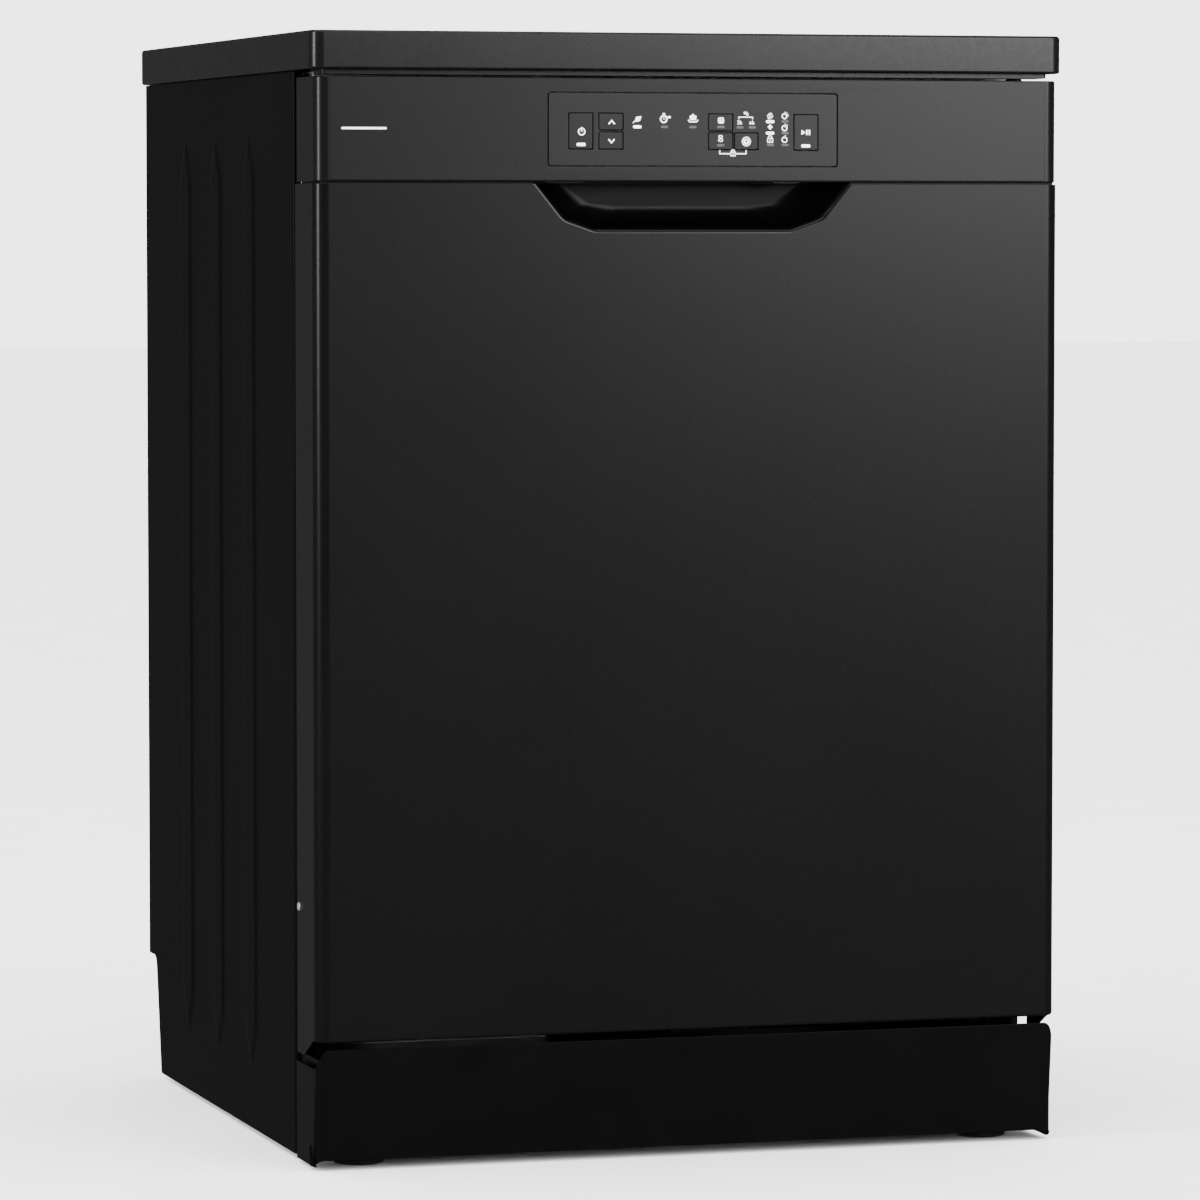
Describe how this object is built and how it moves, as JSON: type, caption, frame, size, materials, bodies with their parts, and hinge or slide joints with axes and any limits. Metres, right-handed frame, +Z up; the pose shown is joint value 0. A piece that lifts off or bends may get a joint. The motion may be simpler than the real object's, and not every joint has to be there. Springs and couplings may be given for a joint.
{
  "type": "freestanding dishwasher",
  "caption": "Black free-standing dishwasher with its own worktop, drop-down door with recessed handle, tub, racks, spray arms and screw feet.",
  "frame": {"origin": "centre of the machine's box on the floor, under the feet", "axes": "+Z up; the door faces -Y; +X is to the right of a person facing the door"},
  "size_m": [0.598, 0.6, 0.86],
  "materials": {
    "black_paint": "satin black powder coat",
    "black_laminate": "black melamine film on chipboard",
    "black_plastic": "black ABS, fine grain",
    "button_plastic": "black ABS, satin",
    "stainless": "stainless sheet, fine brushed",
    "zinc_steel": "zinc-plated steel",
    "grey_plastic": "grey polypropylene",
    "white_plastic": "white polypropylene",
    "rack_coating": "nylon-coated steel wire",
    "rubber": "dark EPDM seal"
  },
  "bodies": {
    "cabinet": {"worktop": "black_laminate", "left_side_panel": "black_paint", "right_side_panel": "black_paint", "rear_panel": "zinc_steel", "base_tray": "black_plastic", "kick_plate": "black_plastic", "front_crossbar": "zinc_steel", "tub_shell": "stainless", "tub_floor": "stainless", "door_gasket": "rubber", "sump_housing": "grey_plastic", "flat_filter": "stainless", "salt_container": "white_plastic", "circulation_pump": "black_plastic", "drain_pump": "white_plastic", "inlet_valve": "white_plastic", "cord_gland": "black_plastic", "air_breaker": "white_plastic", "feed_pipe": "grey_plastic", "ceiling_sprayer": "grey_plastic", "left_hinge_bracket": "zinc_steel", "right_hinge_bracket": "zinc_steel", "left_door_spring": "zinc_steel", "right_door_spring": "zinc_steel"},
    "door": {"door_front_panel": "black_paint", "control_panel": "black_plastic", "control_insert": "black_plastic", "control_board_box": "grey_plastic", "door_liner": "stainless", "handle_pocket": "black_plastic", "detergent_dispenser": "grey_plastic", "left_hinge_arm": "zinc_steel", "right_hinge_arm": "zinc_steel", "door_latch": "black_plastic"},
    "detergent_lid": {"detergent_lid": "grey_plastic"},
    "rinse_aid_cap": {"rinse_aid_cap": "white_plastic"},
    "power_button": {"power_button": "button_plastic"},
    "up_button": {"up_button": "button_plastic"},
    "down_button": {"down_button": "button_plastic"},
    "half_load_button": {"half_load_button": "button_plastic"},
    "extra_dry_button": {"extra_dry_button": "button_plastic"},
    "delay_button": {"delay_button": "button_plastic"},
    "start_button": {"start_button": "button_plastic"},
    "filter_cup": {"filter_cup": "grey_plastic"},
    "salt_cap": {"salt_cap": "grey_plastic"},
    "lower_spray_arm": {"lower_spray_arm": "grey_plastic"},
    "upper_rack": {"upper_rack": "rack_coating"},
    "upper_spray_arm": {"upper_spray_arm": "grey_plastic"},
    "lower_rack": {"lower_rack": "rack_coating"},
    "cutlery_basket": {"cutlery_basket": "grey_plastic"},
    "front_left_wheel": {"front_left_wheel": "grey_plastic"},
    "front_right_wheel": {"front_right_wheel": "grey_plastic"},
    "rear_left_wheel": {"rear_left_wheel": "grey_plastic"},
    "rear_right_wheel": {"rear_right_wheel": "grey_plastic"},
    "left_rail": {"left_rail": "zinc_steel"},
    "right_rail": {"right_rail": "zinc_steel"},
    "front_left_foot": {"front_left_foot": "black_plastic"},
    "front_right_foot": {"front_right_foot": "black_plastic"},
    "rear_left_foot": {"rear_left_foot": "black_plastic"},
    "rear_right_foot": {"rear_right_foot": "black_plastic"}
  },
  "joints": [
    {"name": "door_hinge", "type": "hinge", "parent": "cabinet", "child": "door", "pos_m": [0, -0.2635, 0.1365], "axis": [1, 0, 0], "range_deg": [0, 90], "stiffness_Nm_per_rad": 20, "deforming": ["left_door_spring", "right_door_spring"]},
    {"name": "detergent_lid_hinge", "type": "hinge", "parent": "door", "child": "detergent_lid", "pos_m": [-0.041, -0.227, 0.385], "axis": [-1, 0, 0], "range_deg": [0, 95]},
    {"name": "rinse_aid_cap_turn", "type": "hinge", "parent": "door", "child": "rinse_aid_cap", "pos_m": [0.05, -0.232, 0.447], "axis": [0, 1, 0], "range_deg": [0, 90]},
    {"name": "power_button_press", "type": "slide", "parent": "door", "child": "power_button", "axis": [0, 1, 0], "range_m": [0, 0.0012], "stiffness_N_per_m": 500},
    {"name": "up_button_press", "type": "slide", "parent": "door", "child": "up_button", "axis": [0, 1, 0], "range_m": [0, 0.0012], "stiffness_N_per_m": 500},
    {"name": "down_button_press", "type": "slide", "parent": "door", "child": "down_button", "axis": [0, 1, 0], "range_m": [0, 0.0012], "stiffness_N_per_m": 500},
    {"name": "half_load_button_press", "type": "slide", "parent": "door", "child": "half_load_button", "axis": [0, 1, 0], "range_m": [0, 0.0012], "stiffness_N_per_m": 500},
    {"name": "extra_dry_button_press", "type": "slide", "parent": "door", "child": "extra_dry_button", "axis": [0, 1, 0], "range_m": [0, 0.0012], "stiffness_N_per_m": 500},
    {"name": "delay_button_press", "type": "slide", "parent": "door", "child": "delay_button", "axis": [0, 1, 0], "range_m": [0, 0.0012], "stiffness_N_per_m": 500},
    {"name": "start_button_press", "type": "slide", "parent": "door", "child": "start_button", "axis": [0, 1, 0], "range_m": [0, 0.0012], "stiffness_N_per_m": 500},
    {"name": "filter_cup_turn", "type": "hinge", "parent": "cabinet", "child": "filter_cup", "pos_m": [0.056, -0.026, 0.14], "axis": [0, 0, 1], "range_deg": [0, 90]},
    {"name": "salt_cap_turn", "type": "hinge", "parent": "cabinet", "child": "salt_cap", "pos_m": [-0.15, -0.09, 0.165], "axis": [0, 0, 1], "range_deg": [0, 270]},
    {"name": "lower_spray_arm_spin", "type": "hinge", "parent": "cabinet", "child": "lower_spray_arm", "pos_m": [0, 0.025, 0.193], "axis": [0, 0, 1], "continuous": true},
    {"name": "upper_rack_slide", "type": "slide", "parent": "cabinet", "child": "upper_rack", "axis": [0, -1, 0], "range_m": [0, 0.385]},
    {"name": "left_rail_slide", "type": "slide", "parent": "cabinet", "child": "left_rail", "axis": [0, -1, 0], "range_m": [0, 0.1925]},
    {"name": "right_rail_slide", "type": "slide", "parent": "cabinet", "child": "right_rail", "axis": [0, -1, 0], "range_m": [0, 0.1925]},
    {"name": "upper_spray_arm_spin", "type": "hinge", "parent": "upper_rack", "child": "upper_spray_arm", "pos_m": [0, 0.025, 0.476], "axis": [0, 0, 1], "continuous": true},
    {"name": "lower_rack_slide", "type": "slide", "parent": "cabinet", "child": "lower_rack", "axis": [0, -1, 0], "range_m": [0, 0.16]},
    {"name": "cutlery_basket_lift", "type": "slide", "parent": "lower_rack", "child": "cutlery_basket", "axis": [0, 0, 1], "range_m": [0, 0.1]},
    {"name": "front_left_wheel_spin", "type": "hinge", "parent": "lower_rack", "child": "front_left_wheel", "pos_m": [-0.2575, -0.11, 0.1843], "axis": [1, 0, 0], "continuous": true},
    {"name": "front_right_wheel_spin", "type": "hinge", "parent": "lower_rack", "child": "front_right_wheel", "pos_m": [0.2575, -0.11, 0.1843], "axis": [1, 0, 0], "continuous": true},
    {"name": "rear_left_wheel_spin", "type": "hinge", "parent": "lower_rack", "child": "rear_left_wheel", "pos_m": [-0.2575, 0.15, 0.1843], "axis": [1, 0, 0], "continuous": true},
    {"name": "rear_right_wheel_spin", "type": "hinge", "parent": "lower_rack", "child": "rear_right_wheel", "pos_m": [0.2575, 0.15, 0.1843], "axis": [1, 0, 0], "continuous": true},
    {"name": "front_left_foot_screw", "type": "slide", "parent": "cabinet", "child": "front_left_foot", "axis": [0, 0, -1], "range_m": [0, 0.03]},
    {"name": "front_right_foot_screw", "type": "slide", "parent": "cabinet", "child": "front_right_foot", "axis": [0, 0, -1], "range_m": [0, 0.03]},
    {"name": "rear_left_foot_screw", "type": "slide", "parent": "cabinet", "child": "rear_left_foot", "axis": [0, 0, -1], "range_m": [0, 0.03]},
    {"name": "rear_right_foot_screw", "type": "slide", "parent": "cabinet", "child": "rear_right_foot", "axis": [0, 0, -1], "range_m": [0, 0.03]}
  ],
  "couplings": [
    {"joint": "upper_rack_slide", "follows": "door_hinge", "m_per_rad": 0.242},
    {"joint": "left_rail_slide", "follows": "door_hinge", "m_per_rad": 0.121},
    {"joint": "right_rail_slide", "follows": "door_hinge", "m_per_rad": 0.121},
    {"joint": "lower_rack_slide", "follows": "door_hinge", "m_per_rad": 0.1},
    {"joint": "front_left_wheel_spin", "follows": "door_hinge", "ratio": 5.5556},
    {"joint": "front_right_wheel_spin", "follows": "door_hinge", "ratio": 5.5556},
    {"joint": "rear_left_wheel_spin", "follows": "door_hinge", "ratio": 5.5556},
    {"joint": "rear_right_wheel_spin", "follows": "door_hinge", "ratio": 5.5556}
  ]
}
